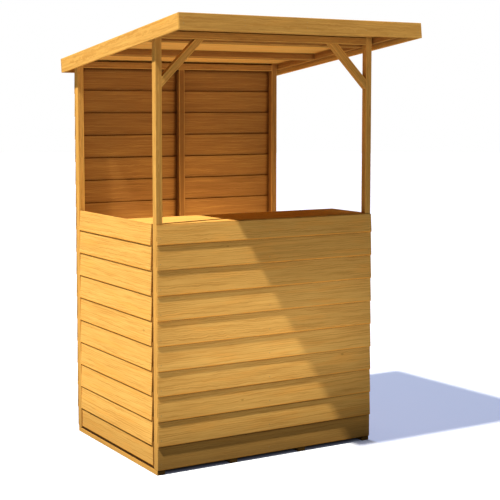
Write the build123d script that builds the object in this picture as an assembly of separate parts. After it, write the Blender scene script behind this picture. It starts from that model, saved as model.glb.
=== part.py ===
from build123d import *
from math import cos, radians, sin, sqrt, tan
import os

# Garden bar: lapped boards on a square softwood frame, open on its right side, under a roof that falls
# to the back. Millimetres, +Z up, +X to the right, +Y to the back, and the serving side faces -Y.
# Heights are above the ground. Depths are taken from the front faces of the front posts, and the
# finished pieces are moved so that the origin lies on the ground in the middle of the overall box.

# Framing
frame_width = 1200.0
frame_depth = 915.0
timber = 33.0

# Base
bearer_count = 4
bearer_width = 40.0
bearer_height = 22.0
floor_thickness = 12.0

# Lapped boards
board_thickness = 5.5
board_cover = 116.4
board_lap = 18.0
board_clearance = 0.3
first_board_edge = 31.0
first_board_cover = 94.8
front_course_rise = 7.5
front_board_drop = 4.0
least_lean_share = 0.5
left_boards_front_gap = 27.0
left_boards_back_gap = 0.5

# Counter
counter_height = 1159.0
counter_thickness = 18.0
counter_depth = 298.0
counter_joint = 2.0
counter_end_joint = 0.5
counter_arm_setback = 15.0
strut_reach = 200.0

# Roof
roof_pitch = 6.6
roof_height = 2087.0
front_overhang = 321.0
rafter_clearance = 5.0
back_rail_clearance = 10.5
fascia_height = 72.0
fascia_thickness = 12.0
roof_deck_thickness = 12.0
roof_upstand = 4.0
felt_thickness = 2.0
cross_rail_count = 4

# Front frame and back frame
header_clearance = 1.0
brace_reach = 218.0
back_rail_drop = 9.5

# Places that several pieces share
half_width = frame_width / 2
inner_half_width = half_width - timber
back_frame_front = frame_depth - timber
floor_top = bearer_height + floor_thickness
frame_foot_top = bearer_height + timber
board_step = board_thickness + board_clearance
board_projection = board_step * (1 + board_lap / board_cover) + board_thickness
left_frame_outer = board_projection - half_width
left_frame_inner = left_frame_outer + timber
counter_underside = counter_height - counter_thickness
counter_front = timber + counter_joint
counter_back = counter_front + counter_depth
support_bottom = counter_underside - timber
roof_deck_underside = -(roof_upstand + roof_deck_thickness)
roof_frame_underside = roof_deck_underside - timber
slope = radians(roof_pitch)
rafter_inner_half = half_width + rafter_clearance
roof_inner_half = rafter_inner_half + timber
roof_half_width = roof_inner_half + fascia_thickness
back_boards_face = frame_depth + board_thickness
last_rail_depth = back_boards_face + back_rail_clearance
last_rail_start = (last_rail_depth + front_overhang - roof_frame_underside * sin(slope)) / cos(slope)
roof_inner_length = last_rail_start + timber
roof_length = roof_inner_length + fascia_thickness
roof_front_reach = -front_overhang - fascia_height * sin(slope)
roof_back_reach = roof_length * cos(slope) - front_overhang
middle_depth = (roof_front_reach + roof_back_reach) / 2


def underside(depth):
    """Height of the roof deck's underside at a depth behind the front posts' faces."""
    fall = (depth + front_overhang) * tan(slope)
    return roof_height - fall + roof_deck_underside / cos(slope)


def block(x_span, y_span, z_span):
    """Square-cut timber or sheet between two limits on each axis."""
    spans = (x_span, y_span, z_span)
    middle = [(low + high) / 2 for low, high in spans]
    return Pos(*middle) * Box(*[high - low for low, high in spans])


def under_roof(x_span, y_span, bottom):
    """Upright whose top is cut to the roof's slope."""
    front, back = y_span
    left, right = x_span
    outline = Polygon(
        (front, bottom), (back, bottom), (back, underside(back)), (front, underside(front)), align=None
    )
    return extrude(Plane.YZ.offset(left) * outline, right - left, dir=(1, 0, 0))


def knee_brace(corner, away, reach, depth):
    """Diagonal with mitred ends, from an upright's face to the underside of the member above."""
    inner_reach = reach - timber * sqrt(2)
    plane = Plane(origin=corner, x_dir=away, z_dir=Vector(away).cross(Vector(0, 0, 1)))
    outline = Polygon((inner_reach, 0), (0, -inner_reach), (0, -reach), (reach, 0), align=None)
    return extrude(plane * outline, depth, dir=plane.z_dir)


def board_edges(rise, top):
    """Lower and upper edge of each board of a wall, the last one cut to the wall's top."""
    lower = [first_board_edge + rise]
    next_edge = lower[0] + first_board_cover
    while next_edge < top - 2 * board_lap:
        lower.append(next_edge)
        next_edge += board_cover
    upper = [edge + board_lap for edge in lower[1:]] + [top]
    return list(zip(lower, upper))


def lapped_wall(origin, outward, run, length, rise, top):
    """Boards that each lean out over the upper edge of the board below. The lowest one lies flat."""
    wall = Plane(origin=origin, x_dir=outward, z_dir=run)
    boards = []
    for lower, upper in board_edges(rise, top):
        seat = foot = 0
        if boards:
            lean_height = max(upper - lower - board_lap, board_cover * least_lean_share)
            lean = board_step / lean_height
            seat = board_step - lean * (upper - lower - board_lap)
            foot = seat + lean * (upper - lower)
        outline = Polygon(
            (seat, upper), (foot, lower), (foot + board_thickness, lower), (seat + board_thickness, upper),
            align=None,
        )
        boards.append(extrude(wall * outline, length, dir=run))
    return boards


def roof_block(x_span, slope_span, level_span):
    """Piece of the roof, laid out along the slope and tilted with it."""
    front_edge = (0, -front_overhang, roof_height)
    roof = Plane(origin=front_edge, x_dir=(1, 0, 0), z_dir=(0, sin(slope), cos(slope)))
    return roof * block(x_span, slope_span, level_span)


pieces = {}

# Floor bearers, spread evenly across the width, and the floor that lies on them
bearer_pitch = (frame_width - bearer_width) / (bearer_count - 1)
for number in range(bearer_count):
    bearer_left = number * bearer_pitch - half_width
    pieces[f"floor_bearer_{number + 1}"] = block(
        (bearer_left, bearer_left + bearer_width), (0, frame_depth), (0, bearer_height)
    )
pieces["floor_deck"] = block(
    (left_frame_outer, half_width), (timber, back_frame_front), (bearer_height, floor_top)
)

# Corner uprights, front and back, cut under the roof
left_upright = (-half_width, -inner_half_width)
right_upright = (inner_half_width, half_width)
front_frame = (0, timber)
back_frame = (back_frame_front, frame_depth)
pieces["front_left_post"] = under_roof(left_upright, front_frame, bearer_height)
pieces["front_right_post"] = under_roof(right_upright, front_frame, bearer_height)
pieces["back_left_stud"] = under_roof(left_upright, back_frame, bearer_height)
pieces["back_right_stud"] = under_roof(right_upright, back_frame, bearer_height)

# Front frame below the counter
between_uprights = (-inner_half_width, inner_half_width)
middle_upright = (-timber / 2, timber / 2)
counter_rail_bottom = counter_height - timber
pieces["front_bottom_rail"] = block(between_uprights, front_frame, (bearer_height, frame_foot_top))
pieces["front_middle_stud"] = block(middle_upright, front_frame, (frame_foot_top, counter_rail_bottom))
pieces["front_counter_rail"] = block(between_uprights, front_frame, (counter_rail_bottom, counter_height))

# Header and its two braces
header_top = underside(timber) - header_clearance
header_bottom = header_top - timber
pieces["front_header"] = block(between_uprights, front_frame, (header_bottom, header_top))
pieces["left_brace"] = knee_brace((-inner_half_width, timber, header_bottom), (1, 0, 0), brace_reach, timber)
pieces["right_brace"] = knee_brace((inner_half_width, 0, header_bottom), (-1, 0, 0), brace_reach, timber)

# Back frame
back_rail_top = underside(back_frame_front) - back_rail_drop
back_rail_bottom = back_rail_top - timber
pieces["back_bottom_rail"] = block(between_uprights, back_frame, (bearer_height, frame_foot_top))
pieces["back_middle_stud"] = block(middle_upright, back_frame, (frame_foot_top, back_rail_bottom))
pieces["back_top_rail"] = block(between_uprights, back_frame, (back_rail_bottom, back_rail_top))

# Left half-height frame, standing on the floor between the front and back frames
left_frame = (left_frame_outer, left_frame_inner)
left_front_depth = (timber, 2 * timber)
left_back_depth = (back_frame_front - timber, back_frame_front)
pieces["left_front_stud"] = block(left_frame, left_front_depth, (floor_top, support_bottom))
pieces["left_back_stud"] = block(left_frame, left_back_depth, (floor_top, support_bottom))
pieces["left_bottom_rail"] = block(
    left_frame, (left_front_depth[1], left_back_depth[0]), (floor_top, floor_top + timber)
)
pieces["left_top_rail"] = block(left_frame, (timber, back_frame_front), (support_bottom, counter_underside))

# Counter, on a ledger along the front frame, the left top rail and a bracket at its open end
arm_back = counter_back - counter_arm_setback
pieces["counter_top"] = block(
    (left_frame_outer + counter_end_joint, half_width),
    (counter_front, counter_back),
    (counter_underside, counter_height),
)
pieces["counter_ledger"] = block(
    (left_frame_inner, inner_half_width), left_front_depth, (support_bottom, counter_underside)
)
pieces["counter_arm"] = block(right_upright, (timber, arm_back), (support_bottom, counter_underside))
pieces["counter_strut"] = knee_brace(
    (inner_half_width, timber, support_bottom), (0, 1, 0), strut_reach, timber
)

# Lapped walls: front, left and back
left_boards_front = timber + left_boards_front_gap
left_boards_back = back_frame_front - left_boards_back_gap
pieces["front_cladding"] = lapped_wall(
    (half_width, 0, 0), (0, -1, 0), (-1, 0, 0), frame_width,
    front_course_rise, counter_height - front_board_drop,
)
pieces["left_cladding"] = lapped_wall(
    (left_frame_outer, left_boards_front, 0), (-1, 0, 0), (0, 1, 0), left_boards_back - left_boards_front,
    0, counter_height,
)
pieces["back_cladding"] = lapped_wall(
    (-half_width, frame_depth, 0), (0, 1, 0), (1, 0, 0), frame_width,
    0, back_rail_bottom + board_lap,
)

# Roof frame, deck and felt inside the fascia boards
frame_level = (roof_frame_underside, roof_deck_underside)
inside_fascia = (fascia_thickness, roof_inner_length)
between_rafters = (-rafter_inner_half, rafter_inner_half)
pieces["roof_left_rafter"] = roof_block((-roof_inner_half, -rafter_inner_half), inside_fascia, frame_level)
pieces["roof_right_rafter"] = roof_block((rafter_inner_half, roof_inner_half), inside_fascia, frame_level)
cross_rail_pitch = (last_rail_start - fascia_thickness) / (cross_rail_count - 1)
for number in range(cross_rail_count):
    rail_start = fascia_thickness + number * cross_rail_pitch
    pieces[f"roof_cross_rail_{number + 1}"] = roof_block(
        between_rafters, (rail_start, rail_start + timber), frame_level
    )
inside_roof = (-roof_inner_half, roof_inner_half)
pieces["roof_deck"] = roof_block(inside_roof, inside_fascia, (roof_deck_underside, -roof_upstand))
pieces["roof_felt"] = roof_block(inside_roof, inside_fascia, (-roof_upstand, felt_thickness - roof_upstand))

# Fascia boards, the front and back ones across the ends of the side ones
fascia_level = (-fascia_height, 0)
across_roof = (-roof_half_width, roof_half_width)
pieces["front_fascia"] = roof_block(across_roof, (0, fascia_thickness), fascia_level)
pieces["back_fascia"] = roof_block(across_roof, (roof_inner_length, roof_length), fascia_level)
pieces["left_fascia"] = roof_block((-roof_half_width, -roof_inner_half), inside_fascia, fascia_level)
pieces["right_fascia"] = roof_block((roof_inner_half, roof_half_width), inside_fascia, fascia_level)

# One file for each piece, moved to the shared origin
os.makedirs("parts", exist_ok=True)
to_origin = Pos(0, -middle_depth, 0)
for name, shape in pieces.items():
    solids = shape if isinstance(shape, list) else [shape]
    placed = [to_origin * solid for solid in solids]
    export_step(placed[0] if len(placed) == 1 else Compound(placed), f"parts/{name}.step")
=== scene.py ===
import math
import random

import bpy
from mathutils import Euler, Matrix, Vector


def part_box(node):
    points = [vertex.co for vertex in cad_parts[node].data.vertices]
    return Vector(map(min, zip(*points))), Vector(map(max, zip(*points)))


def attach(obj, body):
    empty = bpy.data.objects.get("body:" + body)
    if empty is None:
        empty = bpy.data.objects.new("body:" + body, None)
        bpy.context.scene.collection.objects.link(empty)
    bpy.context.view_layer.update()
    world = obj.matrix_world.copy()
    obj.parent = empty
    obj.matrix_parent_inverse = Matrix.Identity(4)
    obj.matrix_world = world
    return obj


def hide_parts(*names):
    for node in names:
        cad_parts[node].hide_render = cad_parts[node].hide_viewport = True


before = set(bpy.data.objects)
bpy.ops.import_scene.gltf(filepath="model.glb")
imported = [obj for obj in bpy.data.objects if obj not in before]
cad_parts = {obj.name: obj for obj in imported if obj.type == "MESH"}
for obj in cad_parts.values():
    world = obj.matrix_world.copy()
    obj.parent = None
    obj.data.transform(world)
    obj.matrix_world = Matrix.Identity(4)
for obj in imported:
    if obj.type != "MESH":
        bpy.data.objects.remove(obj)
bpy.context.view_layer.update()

# Floor bearers: four softwood battens that lie on the ground from front to back and carry the rest.
# Like all the timber they were dipped in a honey-coloured stain, which lets the grain show, and their
# edges are a little rounded by the planer and by handling.


class Wire:
    """A value on its way through the nodes of a finish, so that a finish can be written as sums."""

    def __init__(self, tree, socket=None):
        self.tree = tree
        self.socket = socket

    def node(self, kind, settings, sockets, output=0):
        made = self.tree.nodes.new(kind)
        for setting, value in settings.items():
            if setting == "stops":
                stops = made.color_ramp.elements
                while len(stops) < len(value):
                    stops.new(1.0)
                for stop, (position, colour) in zip(stops, value):
                    stop.position = position
                    stop.color = (*colour, 1.0)
            else:
                setattr(made, setting, value)
        for socket, value in sockets.items():
            if isinstance(value, Wire):
                self.tree.links.new(value.socket, made.inputs[socket])
            else:
                made.inputs[socket].default_value = value
        return Wire(self.tree, made.outputs[output])

    def beside(self, output):
        """Another output of the node that this value comes from."""
        return Wire(self.tree, self.socket.node.outputs[output])

    def math(self, operation, first, second=0.0):
        return self.node("ShaderNodeMath", {"operation": operation}, {0: first, 1: second})

    def __add__(self, other):
        return self.math("ADD", self, other)

    __radd__ = __add__

    def __sub__(self, other):
        return self.math("SUBTRACT", self, other)

    def __rsub__(self, other):
        return self.math("SUBTRACT", other, self)

    def __mul__(self, other):
        return self.math("MULTIPLY", self, other)

    __rmul__ = __mul__

    def __truediv__(self, other):
        return self.math("DIVIDE", self, other)

    def __abs__(self):
        return self.math("ABSOLUTE", self)

    def ramp(self, start, stop):
        """0 at start and 1 at stop, with a soft turn at both ends."""
        limits = {"Value": self, "From Min": start, "From Max": stop}
        return self.node("ShaderNodeMapRange", {"interpolation_type": "SMOOTHSTEP"}, limits)


def vector(wire, operation, first, second, output=0):
    return wire.node("ShaderNodeVectorMath", {"operation": operation}, {0: first, 1: second}, output)


def streaks(wire, place, along, across, detail=2.0):
    """Cloudy streaks from 0 to 1, with that many to a metre along and across the grain."""
    stretched = vector(wire, "MULTIPLY", place, (along, across, across))
    return wire.node("ShaderNodeTexNoise", {}, {"Vector": stretched, "Scale": 1.0, "Detail": detail})


pale_wood = (0.84, 0.475, 0.122)
honey_wood = (0.73, 0.39, 0.095)
deep_wood = (0.50, 0.255, 0.060)
inside_shade_wood = (0.34, 0.155, 0.040)
shut_in_shade_wood = (0.25, 0.112, 0.030)
warm_wood = (0.88, 0.41, 0.082)
rosy_wood = (0.62, 0.275, 0.052)
corner_shade_wood = (0.22, 0.075, 0.013)
low_shade_wood = (0.13, 0.088, 0.040)
deep_shade_wood = (0.040, 0.018, 0.007)
knot_wood = (0.34, 0.14, 0.025)
end_wood = (0.64, 0.33, 0.070)
rubbed_wood = (0.94, 0.52, 0.12)


def honey_stain(
    wire, along, across, through, lot, pith, end, tone, edge_wear_and_highlight, wear_and_highlight_wood, corners, low_shade, end_shade
):
    """Stained softwood at a place along, across and through a piece, in metres from its middle.
    lot moves the pattern so that no two pieces match, and pith is the place of the tree's middle.
    The edge colour shows where its mask is 1: wear on timbers, a painted highlight along the boards' lower
    edges. corners is how strong painted shade is in tight corners, and the last two amounts how far painted
    shade darkens the lowest part and the ends."""
    material_tree = wire.tree
    place = wire.node("ShaderNodeCombineXYZ", {}, {0: along, 1: across, 2: through})
    lot_step = (37.0, 11.0, 5.0)
    if isinstance(lot, Wire):
        shift = wire.node("ShaderNodeVectorMath", {"operation": "SCALE"}, {0: lot_step, "Scale": lot})
    else:
        shift = [step * lot for step in lot_step]
    place = vector(wire, "ADD", place, shift)

    # Knots are sparse: one cell in about twenty holds a small branch, and the rings bend round it
    cells_per_metre = (2.3, 7.0)
    share_without_knot = 0.955
    smallest_knot = 0.0030
    knot_spread = 0.0035
    bend_reach = 0.024
    grid = vector(wire, "MULTIPLY", place, (*cells_per_metre, 0.0))
    sockets = {"Vector": grid, "Scale": 1.0, "Randomness": 0.55}
    branch = wire.node("ShaderNodeTexVoronoi", {"voronoi_dimensions": "2D"}, sockets, "Position")
    chance = wire.node("ShaderNodeSeparateColor", {}, {0: branch.beside("Color")})
    apart = vector(wire, "DIVIDE", vector(wire, "SUBTRACT", grid, branch), (*cells_per_metre, 1.0))
    drawn_out = vector(wire, "MULTIPLY", apart, (0.6, 1.0, 0.0))
    distance = vector(wire, "LENGTH", drawn_out, (0.0, 0.0, 0.0), "Value")
    present = wire.math("GREATER_THAN", chance, share_without_knot)
    knot_radius = smallest_knot + knot_spread * chance.beside("Green")
    knot = present * (distance / knot_radius).ramp(1.5, 0.6)
    swirl = present * distance.ramp(bend_reach, 0.0)

    # Yearly rings round the pith, uneven along the trunk
    ring_width = 0.0090
    trunk_taper = 0.012
    sway_depth = 0.034
    ripple_across = 0.011
    ripple_through = 0.012
    sway = streaks(wire, place, 1.5, 6.0) - 0.5
    ripple = streaks(wire, place, 24.0, 36.0) - 0.5
    pith_across, pith_depth = pith
    out_across = across - pith_across + sway * sway_depth + ripple * ripple_across
    out_through = through + pith_depth + ripple * ripple_through
    radius = wire.math("SQRT", out_across * out_across + out_through * out_through)
    year = (radius + along * trunk_taper) / ring_width + swirl * 0.8
    season = wire.math("FRACT", year)
    ring = wire.math("FLOOR", year)
    strength = wire.node("ShaderNodeTexWhiteNoise", {"noise_dimensions": "1D"}, {"W": ring})
    late = season.ramp(0.25, 0.86) * season.ramp(1.0, 0.88) * (0.30 + 0.70 * strength)

    # Fibres, wavy bands of grain, darker resin streaks and broad changes of tone
    band_wave = 0.013
    fibre = streaks(wire, place, 11.0, 620.0, 3.0)
    wave = wire.node("ShaderNodeCombineXYZ", {}, {1: ripple * band_wave})
    wavy = vector(wire, "ADD", place, wave)
    bands = streaks(wire, wavy, 3.2, 105.0) + streaks(wire, wavy, 6.0, 210.0) - 1.0
    resin = streaks(wire, wavy, 3.6, 85.0).ramp(0.52, 0.78)
    broad = streaks(wire, place, 0.8, 8.0)
    warm = streaks(wire, place, 4.0, 30.0).ramp(0.50, 0.72)
    rosy = (bands + late * 0.5).ramp(0.06, 0.50)
    grain = late * 0.26 + bands * 0.90 + (fibre - 0.5) * 0.45 + resin * 0.10
    seen_grain = (grain + (broad - 0.5) * 0.36) * (1.05 - tone * 0.45)
    depth = 0.18 + (seen_grain + tone) * 0.63
    # The deeper stops are painted shade: tone moves inside and shaded pieces onto them
    stops = [
        (0.0, pale_wood),
        (0.29, honey_wood),
        (0.63, deep_wood),
        (0.84, inside_shade_wood),
        (1.0, shut_in_shade_wood),
    ]
    colour = wire.node("ShaderNodeValToRGB", {"stops": stops}, {0: depth})

    def laid_over(colour, shade, share):
        sockets = {0: share, 6: colour, 7: (*shade, 1.0)}
        return wire.node("ShaderNodeMix", {"data_type": "RGBA"}, sockets, 2)

    # Warm and rosy streaks, knots, sawn ends and worn edges, which on the boards are a painted highlight
    # along the lower edges. Painted shade darkens what is near the ground and the ends, and painted shade
    # from an occlusion test darkens tight corners and the bearers' tops, but not their sides.
    ground_shade_height = 0.22
    low_shade_height = 0.24
    full_low_shade_height = 0.03
    corner_reach = 0.027
    bearer_tops = (0.0165, 0.0215)
    colour = laid_over(colour, warm_wood, warm * (0.45 - tone * 0.40))
    colour = laid_over(colour, rosy_wood, rosy * (0.50 - tone * 0.45))
    colour = laid_over(colour, knot_wood, knot * 0.45)
    colour = laid_over(colour, end_wood, end * (0.30 + 0.35 * late))
    # Edge wear on timbers, and on boards a painted highlight along the lower edges
    patchy = streaks(wire, place, 9.0, 40.0).ramp(0.20, 0.55)
    colour = laid_over(colour, wear_and_highlight_wood, edge_wear_and_highlight * patchy * (1 - end))
    height = wire.node("ShaderNodeTexCoord", {}, {}, "Object")
    height = wire.node("ShaderNodeSeparateXYZ", {}, {0: height}).beside("Z")
    # Painted shade: darker towards the ground, and on the lowest part as far as asked
    colour = laid_over(colour, deep_wood, height.ramp(ground_shade_height, 0.0) * (0.25 + 0.50 * broad))
    low_shaded = height.ramp(low_shade_height, full_low_shade_height) * (0.7 + 0.6 * broad) * low_shade
    colour = laid_over(colour, low_shade_wood, low_shaded)
    # Painted shade on the ends
    if end_shade:
        colour = laid_over(colour, deep_shade_wood, end * end_shade)
    # Painted shade in tight corners from an occlusion test, deeper low down and on deep-toned pieces
    open_face = wire.node("ShaderNodeAmbientOcclusion", {"samples": 8}, {"Distance": corner_reach}, "AO")
    corner_shade = open_face.ramp(0.96, 0.52) * corners * height.ramp(*bearer_tops)
    colour = laid_over(colour, corner_shade_wood, corner_shade)
    colour = laid_over(colour, deep_shade_wood, corner_shade * (height.ramp(0.50, 0.10) + tone * 0.65))

    finish = material_tree.nodes["Principled BSDF"]
    relief = late * 0.5 + fibre * 0.7 - knot * 0.4
    bump = wire.node("ShaderNodeBump", {}, {"Strength": 0.22, "Distance": 0.0007, "Height": relief})
    rough = 0.68 + (fibre - 0.5) * 0.22 - late * 0.06 + end * 0.12
    finish.inputs["Specular IOR Level"].default_value = 0.0
    material_tree.links.new(colour.socket, finish.inputs["Base Color"])
    material_tree.links.new(rough.socket, finish.inputs["Roughness"])
    material_tree.links.new(bump.socket, finish.inputs["Normal"])


along_x = (0.0, 0.0, 0.0)
along_y = (0.0, 0.0, math.radians(90))
upright = (0.0, math.radians(-90), 0.0)
same_point = 0.00002
stock = random.Random(11)


def lie_of(node, turn):
    """Middle of one of the frame's pieces, and half its size along its own turned axes."""
    rotation = Euler(turn).to_matrix()
    corners = [rotation.transposed() @ vertex.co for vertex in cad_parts[node].data.vertices]
    low = Vector([min(corner[axis] for corner in corners) for axis in range(3)])
    high = Vector([max(corner[axis] for corner in corners) for axis in range(3)])
    return rotation @ ((low + high) / 2), (high - low) / 2


def dress_timber(
    node, turn, tone=0.40, pith_depth=0.05, edge_radius=0.0016, corners=0.3, low_shade=0.15, end_shade=0.0
):
    """Rounds the edges of one of the frame's timbers and stains it, with the grain along its length."""
    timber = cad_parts[node]
    middle, half = lie_of(node, turn)
    weld = timber.modifiers.new("joined corners", "WELD")
    weld.merge_threshold = same_point
    rounding = timber.modifiers.new("rounded edges", "BEVEL")
    rounding.width = edge_radius
    rounding.segments = 2
    rounding.limit_method = "ANGLE"
    rounding.angle_limit = math.radians(30)

    material = bpy.data.materials.new(f"honey_stain_{node}")
    material.use_nodes = True
    wire = Wire(material.node_tree)
    place = wire.node("ShaderNodeTexCoord", {}, {}, "Object")
    mapping = {"Vector": place, "Location": middle, "Rotation": turn}
    place = wire.node("ShaderNodeMapping", {"vector_type": "TEXTURE"}, mapping)
    along = wire.node("ShaderNodeSeparateXYZ", {}, {0: place})
    across, through = along.beside("Y"), along.beside("Z")
    if half.y < half.z:
        across, through = through, across
        half.y, half.z = half.z, half.y
    to_end = half.x - abs(along)
    to_side = half.y - abs(across)
    to_face = half.z - abs(through)
    nearer = wire.math("MINIMUM", to_side, to_face)
    further = wire.math("MAXIMUM", to_side, to_face)
    edge = wire.math("MAXIMUM", nearer, wire.math("MINIMUM", further, to_end))
    sawn_skin = 0.0012
    rubbed_reach = 0.0055
    end = to_end.ramp(sawn_skin, 0.0002)
    pith = (half.y * stock.uniform(-0.9, 0.9), pith_depth * stock.uniform(0.7, 1.3))
    lot = stock.random()
    tone = tone + stock.uniform(-0.05, 0.05)
    edge_wear_and_highlight = edge.ramp(rubbed_reach, 0.0015) * 0.4
    end_and_low_shade = (low_shade, end_shade)
    honey_stain(wire, along, across, through, lot, pith, end, tone, edge_wear_and_highlight, rubbed_wood, corners, *end_and_low_shade)
    timber.material_slots[0].material = material


# The left one lies in the sun: it is painted paler as painted light, with no painted shade low down, and its
# end is painted dark as painted shade
dress_timber("floor_bearer_1", along_y, tone=0.10, corners=1.0, low_shade=0.0, end_shade=0.55)
# Painted shade on the other bearers' ends, low down and in their corners
for number in range(2, 5):
    dress_timber(f"floor_bearer_{number}", along_y, corners=0.8, end_shade=0.45)

# Front frame: two square posts from the bearers to the roof, with rails and a stud between them below the
# counter, a header under the roof and two mitred braces. All are planed softwood of one section, nailed.
mitre = math.radians(45)
for node in ("front_left_post", "front_right_post", "front_middle_stud"):
    dress_timber(node, upright)
for node in ("front_bottom_rail", "front_counter_rail"):
    dress_timber(node, along_x)
# Painted shade: the header and braces, in the roof's shade, are painted darker
dress_timber("front_header", along_x, tone=0.7)
dress_timber("left_brace", (0.0, -mitre, 0.0), tone=0.5)
dress_timber("right_brace", (0.0, mitre, 0.0), tone=0.5)

# Back frame: three studs, a bottom rail and a top rail of the same planed section, nailed together flat and
# stood up as one panel behind the floor. Out of the sun, the wood is painted a deeper colour as painted
# shade.
inside_shade_tone = 0.96
inside_corners = 0.8
dress_timber("back_left_stud", upright, tone=0.35, corners=0.0)
dress_timber("back_right_stud", upright, inside_shade_tone)
dress_timber("back_middle_stud", upright, tone=1.25, corners=inside_corners)
for node in ("back_bottom_rail", "back_top_rail"):
    dress_timber(node, along_x, inside_shade_tone, corners=inside_corners)

# Left frame: a panel of half the height that closes the left side, with two short studs between a bottom
# rail and a top rail. It stands on the floor and its top rail carries one end of the counter.
# Painted shade: these face the inside and take the deep inside tone
for node in ("left_front_stud", "left_back_stud"):
    dress_timber(node, upright, inside_shade_tone)
for node in ("left_bottom_rail", "left_top_rail"):
    dress_timber(node, along_y, inside_shade_tone)

# Counter: one wide planed board just behind the front wall, on a ledger along the front frame and on an arm
# with a mitred strut at its open right end.
dress_timber("counter_top", along_x, tone=0.08, pith_depth=0.12, edge_radius=0.002, corners=0.6)
dress_timber("counter_ledger", along_x)
dress_timber("counter_arm", along_y)
dress_timber("counter_strut", (0.0, -mitre, math.radians(90)))

# Lapped boards: thin sawn softwood on the front, left and back, each board leaning out over the one below,
# with a rounded lower edge that sheds the rain, and nailed to every stud just above the lap. The lower edges
# carry a painted orange highlight and the inner faces painted shade. The lowest ones lie flat, and those on
# the front and back are painted darker as painted shade.
edge_highlight_wood = (0.93, 0.41, 0.07)
board_width = 0.134
board_thickness = 0.0055
lower_edge_radius = 0.0042
lowest_edge_radius = 0.0020
other_edge_radius = 0.0006
nail_above_lap = 0.030
nail_from_end = 0.016
edge_highlight_share = 0.85
close_by = 0.0005


def alone(piece):
    """Makes one piece the only one that the next operators act on."""
    bpy.ops.object.select_all(action="DESELECT")
    piece.select_set(True)
    bpy.context.view_layer.objects.active = piece


def joined(pieces, name):
    """Joins finished pieces into one mesh, with its place in the mesh."""
    alone(pieces[0])
    for piece in pieces:
        piece.select_set(True)
    bpy.ops.object.join()
    whole = bpy.context.view_layer.objects.active
    whole.name = name
    whole.data.name = name
    return whole


def mark(piece, label, values):
    """Stores a number at each corner of a piece, for its finish to read."""
    attribute = piece.data.attributes.new(label, "FLOAT", "POINT")
    attribute.data.foreach_set("value", values)


def soften(piece, radius):
    """Rounds all sharp edges of a piece a little."""
    rounding = piece.modifiers.new("rounded edges", "BEVEL")
    rounding.width = radius
    rounding.segments = 2
    rounding.limit_method = "ANGLE"
    rounding.angle_limit = math.radians(40)
    alone(piece)
    bpy.ops.object.modifier_apply(modifier=rounding.name)


def separate_boards(node):
    """Copies of a wall's boards, one piece each, from the lowest to the highest."""
    wall = bpy.data.objects.new(node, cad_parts[node].data.copy())
    bpy.context.scene.collection.objects.link(wall)
    alone(wall)
    bpy.ops.object.mode_set(mode="EDIT")
    bpy.ops.mesh.select_all(action="SELECT")
    bpy.ops.mesh.remove_doubles(threshold=same_point)
    bpy.ops.mesh.tris_convert_to_quads()
    bpy.ops.mesh.separate(type="LOOSE")
    bpy.ops.object.mode_set(mode="OBJECT")
    boards = list(bpy.context.selected_objects)
    return sorted(boards, key=lambda board: min(vertex.co.z for vertex in board.data.vertices))


def reach_down(board, level):
    """Lengthens an upright board downwards to a level."""
    lower = min(vertex.co.z for vertex in board.data.vertices)
    alone(board)
    bpy.ops.object.mode_set(mode="EDIT")
    bpy.ops.mesh.select_mode(type="VERT")
    bpy.ops.mesh.select_all(action="DESELECT")
    bpy.ops.object.mode_set(mode="OBJECT")
    for vertex in board.data.vertices:
        vertex.select = vertex.co.z < lower + close_by
    bpy.ops.object.mode_set(mode="EDIT")
    bpy.ops.transform.translate(value=(0.0, 0.0, level - lower))
    bpy.ops.object.mode_set(mode="OBJECT")


def round_lower_edge(board, outward, radius):
    """Rounds the lower outer edge of a board."""
    lower = min(vertex.co.z for vertex in board.data.vertices)
    furthest = max(vertex.co @ outward for vertex in board.data.vertices)
    alone(board)
    bpy.ops.object.mode_set(mode="EDIT")
    bpy.ops.mesh.select_mode(type="EDGE")
    bpy.ops.mesh.select_all(action="DESELECT")
    bpy.ops.object.mode_set(mode="OBJECT")
    for edge in board.data.edges:
        ends = [board.data.vertices[index].co for index in edge.vertices]
        at_foot = all(end.z < lower + close_by for end in ends)
        edge.select = at_foot and all(end @ outward > furthest - close_by for end in ends)
    bpy.ops.object.mode_set(mode="EDIT")
    bpy.ops.mesh.bevel(offset=radius, segments=4, affect="EDGES")
    bpy.ops.object.mode_set(mode="OBJECT")


def board_stain(name, turn, middle, half_length, width, edge_highlight, low_shade, depth="Y"):
    """Stain for boards that share one mesh, each with its own grain, with a painted highlight along the
    lower edges and painted shade on the lowest boards, as strong as the given amounts."""
    material = bpy.data.materials.new(name)
    material.use_nodes = True
    wire = Wire(material.node_tree)
    place = wire.node("ShaderNodeTexCoord", {}, {}, "Object")
    mapping = {"Vector": place, "Location": middle, "Rotation": turn}
    place = wire.node("ShaderNodeMapping", {"vector_type": "TEXTURE"}, mapping)
    along = wire.node("ShaderNodeSeparateXYZ", {}, {0: place})
    through = along.beside(depth)
    lot = wire.node("ShaderNodeAttribute", {"attribute_name": "lot"}, {}, "Fac")
    rise = wire.node("ShaderNodeAttribute", {"attribute_name": "rise"}, {}, "Fac")
    tone = wire.node("ShaderNodeAttribute", {"attribute_name": "tone"}, {}, "Fac")
    sawn_skin = 0.0009
    edge_highlight_height = 0.0085
    shade_free_end = 0.030
    other_lot = wire.math("FRACT", lot * 17.0)
    side = wire.math("SIGN", lot - 0.5)
    pith = (side * (0.08 + other_lot * 0.10), 0.03 + other_lot * 0.04)
    to_end = half_length - abs(along)
    end = to_end.ramp(sawn_skin, 0.0002)
    # Painted highlight along each board's lower edge
    lit_edge = rise.ramp(edge_highlight_height, 0.0040) * edge_highlight
    # Painted shade in tight corners, kept off near the boards' ends and on each board's own lower edge
    corners = to_end.ramp(0.0, shade_free_end) * rise.ramp(0.004, 0.010)
    rise = rise - width / 2
    honey_stain(wire, along, rise, through, lot, pith, end, tone, lit_edge, edge_highlight_wood, corners, low_shade, 0.0)
    return material


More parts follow.
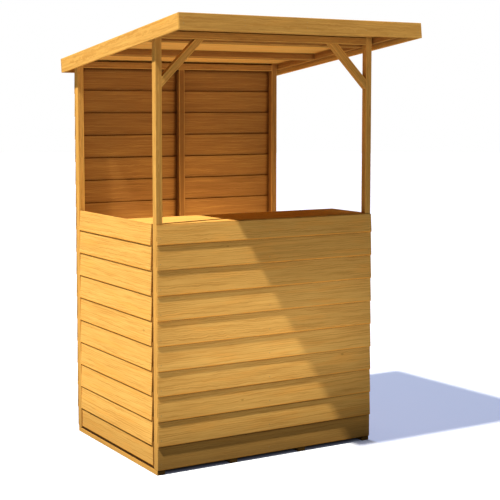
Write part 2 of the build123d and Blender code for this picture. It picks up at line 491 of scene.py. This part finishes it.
def lapped_wall(node, outward, studs, turn, lowest_board_tone, low_shade, foot_level=None):
    """Builds one wall of lapped boards from the frame's boards, the lowest one down to foot_level where that
    is given. Returns the places of its nails."""
    boards = separate_boards(node)
    if foot_level:
        reach_down(boards[0], foot_level)
    run = 1 if abs(outward.x) > 0.5 else 0
    nails = []
    for board in boards:
        corners = [vertex.co.copy() for vertex in board.data.vertices]
        lower = min(corner.z for corner in corners)
        upper = max(corner.z for corner in corners)
        foot = max(corner @ outward for corner in corners if corner.z < lower + close_by)
        head = max(corner @ outward for corner in corners if corner.z > upper - close_by)
        lean = (foot - head) / (upper - lower)
        face = (outward + Vector((0.0, 0.0, lean))).normalized()
        for stud in studs:
            point = outward * (foot - lean * nail_above_lap)
            point[run] = stud
            point.z = lower + nail_above_lap
            nails.append((point, face))
        round_lower_edge(board, outward, lowest_edge_radius if board == boards[0] else lower_edge_radius)
        soften(board, other_edge_radius)
        # Painted shade: the lowest board takes its own tone where given, and each board's inner face the
        # deep inside tone
        tone = lowest_board_tone if board == boards[0] else stock.uniform(-0.07, 0.07)
        heights = []
        tones = []
        for vertex in board.data.vertices:
            rise = vertex.co.z - lower
            behind = foot - lean * rise - vertex.co @ outward
            heights.append(rise)
            tones.append(tone + inside_shade_tone * min(1.0, behind / board_thickness))
        mark(board, "rise", heights)
        mark(board, "lot", [stock.random()] * len(heights))
        mark(board, "tone", tones)
    low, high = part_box(node)
    wall = joined(boards, node.replace("cladding", "boards"))
    half_length = (high - low)[run] / 2
    lie = (turn, (low + high) / 2, half_length, board_width)
    material = board_stain(f"sawn_stain_{node}", *lie, edge_highlight_share, low_shade)
    wall.data.materials.clear()
    wall.data.materials.append(material)
    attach(wall, "root")
    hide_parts(node)
    return nails


def middle_of(node, axis):
    low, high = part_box(node)
    return (low[axis] + high[axis]) / 2


front_studs = [middle_of(node, 0) for node in ("front_left_post", "front_middle_stud", "front_right_post")]
back_studs = [middle_of(node, 0) for node in ("back_left_stud", "back_middle_stud", "back_right_stud")]
left_board_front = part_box("left_cladding")[0].y
left_studs = [left_board_front + nail_from_end, middle_of("left_back_stud", 1)]
rail_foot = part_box("front_bottom_rail")[0].z
to_front = Vector((0, -1, 0))
to_left = Vector((-1, 0, 0))
to_back = Vector((0, 1, 0))
# Painted shade on the lowest boards and the lowest part of each wall
front_shade_amounts = {"lowest_board_tone": 0.26, "low_shade": 0.21}
left_shade_amounts = {"lowest_board_tone": -0.12, "low_shade": 0.02}
back_shade_amounts = {"lowest_board_tone": 0.30, "low_shade": 0.40}
front_nails = lapped_wall(
    "front_cladding", to_front, front_studs, along_x, foot_level=rail_foot, **front_shade_amounts
)
left_nails = lapped_wall("left_cladding", to_left, left_studs, along_y, **left_shade_amounts)
back_nails = lapped_wall("back_cladding", to_back, back_studs, along_x, **back_shade_amounts)


def dulled_steel(name, dark, light):
    """Nail steel, dulled by the stain that was brushed over it or by the weather."""
    material = bpy.data.materials.new(name)
    material.use_nodes = True
    wire = Wire(material.node_tree)
    place = wire.node("ShaderNodeTexCoord", {}, {}, "Object")
    spots = streaks(wire, place, 420.0, 420.0, 3.0)
    colour = wire.node("ShaderNodeValToRGB", {"stops": [(0.3, dark), (0.7, light)]}, {0: spots})
    rough = 0.45 + spots * 0.25
    finish = material.node_tree.nodes["Principled BSDF"]
    finish.inputs["Metallic"].default_value = 0.5
    material.node_tree.links.new(colour.socket, finish.inputs["Base Color"])
    material.node_tree.links.new(rough.socket, finish.inputs["Roughness"])
    return material


stained_nail = dulled_steel("stained_nail_steel", (0.42, 0.24, 0.07), (0.60, 0.38, 0.14))


def drive_nails(name, places, head_radius=0.0022, steel=stained_nail):
    """One flat nail head with a chamfered rim, copied to each place and joined."""
    head_depth = 0.0016
    rim_share = 0.22
    crown = 0.0003
    sunk = 0.0005
    bpy.ops.object.select_all(action="DESELECT")
    bpy.ops.mesh.primitive_cylinder_add(vertices=14, radius=head_radius, depth=head_depth)
    nail = bpy.context.view_layer.objects.active
    bpy.ops.object.mode_set(mode="EDIT")
    bpy.ops.mesh.select_mode(type="FACE")
    bpy.ops.mesh.select_all(action="DESELECT")
    bpy.ops.object.mode_set(mode="OBJECT")
    for face in nail.data.polygons:
        face.select = face.normal.z > 0.9
    bpy.ops.object.mode_set(mode="EDIT")
    bpy.ops.mesh.inset(thickness=head_radius * rim_share)
    bpy.ops.transform.translate(value=(0.0, 0.0, crown))
    bpy.ops.object.mode_set(mode="OBJECT")
    nails = []
    for point, outward in places:
        copy = bpy.data.objects.new(name, nail.data.copy())
        bpy.context.scene.collection.objects.link(copy)
        turn = outward.to_track_quat("Z", "Y").to_matrix().to_4x4()
        spin = Matrix.Rotation(stock.uniform(0.0, math.pi), 4, "Z")
        copy.data.transform(Matrix.Translation(point - outward * sunk) @ turn @ spin)
        nails.append(copy)
    bpy.data.objects.remove(nail)
    heads = joined(nails, name)
    heads.data.materials.append(steel)
    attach(heads, "root")


drive_nails("front_board_nails", front_nails)
drive_nails("left_board_nails", left_nails)
drive_nails("back_board_nails", back_nails)

# Floor boards: eight planed softwood boards across the bearers, with eased edges that leave a fine groove
# between neighbours, each nailed twice to every bearer.


def floor_boards():
    low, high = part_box("floor_deck")
    count = 8
    gap = 0.0008
    eased_edge = 0.0018
    nail_lines = (0.22, 0.78)
    nail_inset = 0.012
    nail_wander = 0.004
    nail_head_radius = 0.0028
    width = (high.y - low.y + gap) / count - gap
    boards = []
    nails = []
    for number in range(count):
        start = low.y + number * (width + gap)
        bpy.ops.object.select_all(action="DESELECT")
        bpy.ops.mesh.primitive_cube_add(size=1.0)
        board = bpy.context.view_layer.objects.active
        bpy.ops.object.mode_set(mode="EDIT")
        bpy.ops.mesh.select_all(action="SELECT")
        bpy.ops.transform.resize(value=(high.x - low.x, width, high.z - low.z))
        middle = ((low.x + high.x) / 2, start + width / 2, (low.z + high.z) / 2)
        bpy.ops.transform.translate(value=middle)
        bpy.ops.object.mode_set(mode="OBJECT")
        soften(board, eased_edge)
        across = [vertex.co.y - start for vertex in board.data.vertices]
        mark(board, "rise", across)
        mark(board, "lot", [stock.random()] * len(across))
        mark(board, "tone", [stock.uniform(0.05, 0.3)] * len(across))
        boards.append(board)
        for bearer in range(1, 5):
            for share in nail_lines:
                place = max(middle_of(f"floor_bearer_{bearer}", 0), low.x + nail_inset)
                place = place + stock.uniform(-nail_wander, nail_wander)
                point = Vector((place, start + width * share, high.z))
                nails.append((point, Vector((0.0, 0.0, 1.0))))
    deck = joined(boards, "floor_boards")
    middle = (low + high) / 2
    half_length = (high - low).x / 2
    lie = (along_x, middle, half_length, width)
    deck.data.materials.append(board_stain("floor_stain", *lie, edge_highlight=0.0, low_shade=0.0, depth="Z"))
    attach(deck, "root")
    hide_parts("floor_deck")
    drive_nails("floor_nails", nails, nail_head_radius)


floor_boards()

# Roof frame: two rafters that fall to the back, four cross rails between them and a thin deck on top. The
# frame is the same planed softwood, painted deeper as painted shade, and the deck is smooth and stained on
# its underside, painted paler there as painted light thrown up from below.
roof_face = max(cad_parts["roof_felt"].data.polygons, key=lambda face: face.area).normal
roof_pitch = math.atan2(abs(roof_face.y), abs(roof_face.z))
down_the_roof = (0.0, roof_pitch, math.radians(90))
across_the_roof = (-roof_pitch, 0.0, 0.0)
for node in ("roof_left_rafter", "roof_right_rafter"):
    dress_timber(node, down_the_roof, inside_shade_tone)
for number in range(1, 5):
    dress_timber(f"roof_cross_rail_{number}", across_the_roof, inside_shade_tone)
dress_timber("roof_deck", across_the_roof, tone=-0.12, pith_depth=0.25, edge_radius=0.0006)

# Roof felt: two strips of dark mineral felt laid across the slope, the upper one lapped over the lower one,
# inside the fascia boards. Galvanised clout nails hold the edges and the lap.
felt_thickness = 0.0011
felt_cuts = 19


def mineral_felt():
    material = bpy.data.materials.new("mineral_felt")
    material.use_nodes = True
    wire = Wire(material.node_tree)
    place = wire.node("ShaderNodeTexCoord", {}, {}, "Object")
    grit = streaks(wire, place, 900.0, 900.0, 2.0)
    cloud = streaks(wire, place, 5.0, 5.0, 3.0)
    stops = [(0.25, (0.045, 0.05, 0.05)), (0.55, (0.10, 0.11, 0.11)), (0.8, (0.23, 0.24, 0.23))]
    colour = wire.node("ShaderNodeValToRGB", {"stops": stops}, {0: grit * 0.7 + cloud * 0.3})
    bump = wire.node("ShaderNodeBump", {}, {"Strength": 0.5, "Distance": 0.0008, "Height": grit})
    rough = 0.85 + (grit - 0.5) * 0.2
    finish = material.node_tree.nodes["Principled BSDF"]
    finish.inputs["Specular IOR Level"].default_value = 0.25
    material.node_tree.links.new(colour.socket, finish.inputs["Base Color"])
    material.node_tree.links.new(rough.socket, finish.inputs["Roughness"])
    material.node_tree.links.new(bump.socket, finish.inputs["Normal"])
    return material


def felt_strip(front, back, half, lifted_from):
    """One strip between two places down the slope, lifted where it lies on the strip below."""
    bpy.ops.object.select_all(action="DESELECT")
    bpy.ops.mesh.primitive_cube_add(size=1.0)
    strip = bpy.context.view_layer.objects.active
    bpy.ops.object.mode_set(mode="EDIT")
    bpy.ops.mesh.select_mode(type="VERT")
    bpy.ops.mesh.select_all(action="SELECT")
    bpy.ops.transform.resize(value=(2 * half.x, back - front, felt_thickness))
    bpy.ops.transform.translate(value=(0.0, (front + back) / 2, felt_thickness / 2 - half.z))
    bpy.ops.mesh.subdivide(number_cuts=felt_cuts)
    bpy.ops.mesh.select_all(action="DESELECT")
    bpy.ops.object.mode_set(mode="OBJECT")
    for corner in strip.data.vertices:
        corner.select = corner.co.y > lifted_from
    bpy.ops.object.mode_set(mode="EDIT")
    bpy.ops.transform.translate(value=(0.0, 0.0, 2 * half.z - felt_thickness))
    bpy.ops.object.mode_set(mode="OBJECT")
    return strip


def lay_felt():
    middle, half = lie_of("roof_felt", across_the_roof)
    lap_front = -0.03
    lap_back = 0.045
    lift_before_lap = 0.03
    nowhere = half.y + 1.0
    strips = [
        felt_strip(lap_front, half.y, half, nowhere),
        felt_strip(-half.y, lap_back, half, lap_front - lift_before_lap),
    ]
    felt = joined(strips, "felt_strips")
    slope = Matrix.Translation(middle) @ Euler(across_the_roof).to_matrix().to_4x4()
    felt.data.transform(slope)
    felt.data.materials.append(mineral_felt())
    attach(felt, "root")
    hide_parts("roof_felt")

    inset = 0.018
    spaces = 13
    clout_radius = 0.005
    surface = felt_thickness - half.z
    spots = []
    for number in range(spaces + 1):
        across = (half.x - inset) * (2 * number / spaces - 1)
        spots.append((across, inset - half.y, surface))
        spots.append((across, half.y - inset, surface))
        spots.append((across, lap_back - inset, half.z))
    for number in range(1, spaces):
        down = (half.y - inset) * (2 * number / spaces - 1)
        on_lap = lap_front < down < lap_back
        spots.append((inset - half.x, down, half.z if on_lap else surface))
        spots.append((half.x - inset, down, half.z if on_lap else surface))
    outward = Euler(across_the_roof).to_matrix() @ Vector((0.0, 0.0, 1.0))
    galvanised = dulled_steel("galvanised_clout_steel", (0.30, 0.31, 0.32), (0.50, 0.51, 0.52))
    clouts = [(slope @ Vector(spot), outward) for spot in spots]
    drive_nails("felt_clouts", clouts, clout_radius, galvanised)


lay_felt()

# Fascia boards: planed boards round the edge of the roof that hide the ends of its frame, the front and back
# ones nailed across the ends of the side ones and to the frame behind them.
for node in ("left_fascia", "right_fascia"):
    dress_timber(node, down_the_roof, tone=0.14)
# Painted shade: the front and back ones, which the key only grazes, are painted darker than the side ones
for node in ("front_fascia", "back_fascia"):
    dress_timber(node, across_the_roof, tone=0.58)


def fascia_nails():
    nails = []
    places_along = (-0.965, -0.5, 0.0, 0.5, 0.965)
    levels = (0.014, -0.010)
    turn = Euler(across_the_roof).to_matrix()
    for node, sign in (("front_fascia", -1), ("back_fascia", 1)):
        middle, half = lie_of(node, across_the_roof)
        outward = turn @ Vector((0, sign, 0))
        for share in places_along:
            for level in levels:
                point = middle + turn @ Vector((half.x * share, 0.0, level))
                nails.append((point + outward * half.y, outward))
    drive_nails("fascia_nails", nails)


fascia_nails()

# Studio: a wide pale floor that stays white in the picture and keeps the bar's soft, bluish shadow. For the
# light that it throws back it is grey, and darkest close to the bar.


def seen_directly(wire):
    """1 for what the camera sees straight on, in a reflection or through glass."""
    path = wire.node("ShaderNodeLightPath", {}, {}, "Is Camera Ray")
    seen = wire.math("MAXIMUM", path, path.beside("Is Glossy Ray"))
    return wire.math("MAXIMUM", seen, path.beside("Is Transmission Ray"))


def studio_floor():
    shade_near = (0.06, 0.06, 0.06)
    shade_far = (0.40, 0.40, 0.40)
    shade_reach = 1.2
    floor_white = (0.97, 0.97, 0.97, 1.0)
    veil_blue = (0.545, 0.65, 1.0, 1.0)
    veil_strength = 1.085
    veil_share = 0.55
    veil_from_side = (-0.02, 0.02)
    veil_from_front = (-0.06, 0.16)
    floor_radius = 40.0
    bpy.ops.object.select_all(action="DESELECT")
    bpy.ops.mesh.primitive_circle_add(vertices=96, radius=floor_radius, fill_type="NGON")
    floor = bpy.context.view_layer.objects.active
    floor.name = "studio_floor"
    material = bpy.data.materials.new("pale_studio_floor")
    material.use_nodes = True
    tree = material.node_tree
    tree.nodes.remove(tree.nodes["Principled BSDF"])
    wire = Wire(tree)
    seen = seen_directly(wire)
    base_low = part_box("floor_bearer_1")[0]
    base_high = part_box("floor_bearer_4")[1]
    middle = (base_low + base_high) / 2
    place = wire.node("ShaderNodeTexCoord", {}, {}, "Object")
    aside = wire.node("ShaderNodeSeparateXYZ", {}, {0: vector(wire, "SUBTRACT", place, middle)})
    past_side = abs(aside) - (base_high - base_low).x / 2
    past_front = abs(aside.beside("Y")) - (base_high - base_low).y / 2
    aside = wire.math("MAXIMUM", past_side, past_front)
    # Painted light: a bluish glow that only the camera sees lightens and tints the floor's shadow; fading it
    # out beside and under the bar paints shade there
    open_ground = wire.math("MAXIMUM", past_side.ramp(*veil_from_side), past_front.ramp(*veil_from_front))
    stops = [(0.0, shade_near), (1.0, shade_far)]
    grey = wire.node("ShaderNodeValToRGB", {"stops": stops}, {0: aside.ramp(0.0, shade_reach)})
    bounce = wire.node("ShaderNodeBsdfDiffuse", {}, {"Color": grey})
    white = wire.node("ShaderNodeBsdfDiffuse", {}, {"Color": floor_white})
    veil = wire.node("ShaderNodeEmission", {}, {"Color": veil_blue, "Strength": veil_strength})
    shown = wire.node("ShaderNodeMixShader", {}, {0: open_ground * veil_share, 1: white, 2: veil})
    mixed = wire.node("ShaderNodeMixShader", {}, {0: seen, 1: bounce, 2: shown})
    tree.links.new(mixed.socket, tree.nodes["Material Output"].inputs["Surface"])
    floor.data.materials.append(material)


studio_floor()

# Light: one key from the upper left, a faint even surround and a wide soft lamp high behind for the sides
# that the key doesn't reach. Three weak lamps stand in for what sunlit ground and boards throw back: a warm
# one inside, a low one before the front wall and a low one at the open right side.
world = bpy.data.worlds.new("studio_surround")
bpy.context.scene.world = world
world.use_nodes = True
world_wire = Wire(world.node_tree)
seen = seen_directly(world_wire)
surround = world.node_tree.nodes["Background"]
surround.inputs["Color"].default_value = (0.82, 0.91, 1.0, 1.0)
surround.inputs["Strength"].default_value = 0.05
backdrop = world_wire.node("ShaderNodeBackground", {}, {"Color": (1.0, 1.0, 1.0, 1.0), "Strength": 1.0})
mixed = world_wire.node("ShaderNodeMixShader", {}, {0: seen, 2: backdrop})
world.node_tree.links.new(surround.outputs[0], mixed.socket.node.inputs[1])
world.node_tree.links.new(mixed.socket, world.node_tree.nodes["World Output"].inputs["Surface"])


def hang_lamp(name, light, place, aim):
    """Puts a light at a place, shining along aim."""
    lamp = bpy.data.objects.new(name, light)
    bpy.context.scene.collection.objects.link(lamp)
    lamp.location = place
    lamp.rotation_euler = Vector(aim).to_track_quat("-Z", "Y").to_euler()
    return lamp


def soft_light(name, energy, width, height, colour=(1.0, 1.0, 1.0)):
    light = bpy.data.lights.new(name, "AREA")
    light.shape = "RECTANGLE"
    light.energy = energy
    light.size = width
    light.size_y = height
    light.color = colour
    return light


key = bpy.data.lights.new("key_lamp", "SUN")
key.energy = 6.5
key.angle = math.radians(1.6)
key.color = (1.0, 0.98, 0.91)
hang_lamp("key_lamp", key, place=(0.0, 0.0, 0.0), aim=(0.563, 0.125, -1.0))

fill = soft_light("fill_lamp", energy=90.0, width=2.4, height=2.4)
hang_lamp("fill_lamp", fill, place=(0.6, 4.0, 4.6), aim=(-0.6, -4.0, -3.6))

glow = soft_light("glow_lamp", energy=4.4, width=1.0, height=0.2, colour=(1.0, 0.74, 0.46))
reflector = soft_light("reflector", energy=1.05, width=1.2, height=0.4, colour=(0.92, 0.95, 1.0))
side = soft_light("side_lamp", energy=65.0, width=1.6, height=0.6)
for weak_lamp in (
    hang_lamp("glow_lamp", glow, place=(0.05, 0.21, 0.94), aim=(0.0, 1.0, 0.9)),
    hang_lamp("reflector", reflector, place=(0.0, -0.64, 0.59), aim=(0.0, 1.0, 0.0)),
    hang_lamp("side_lamp", side, place=(6.0, -0.2, 0.6), aim=(-1.0, 0.05, 0.04)),
):
    weak_lamp.visible_camera = False

# Camera: level with a standing person's eyes, to the left of the front, with a long lens.
camera_data = bpy.data.cameras.new("camera")
camera = bpy.data.objects.new("camera", camera_data)
bpy.context.scene.collection.objects.link(camera)
bpy.context.scene.camera = camera
camera_data.lens = 87.25
camera_data.sensor_width = 36.0
camera_data.shift_x = 0.0150
camera_data.shift_y = -0.085
camera.location = (-3.0415, -5.2115, 1.6822)
camera_turn = 30.655
camera_tilt = 4.673
camera.rotation_euler = (math.radians(90 - camera_tilt), 0.0, math.radians(-camera_turn))

scene = bpy.context.scene
scene.view_settings.view_transform = "Standard"
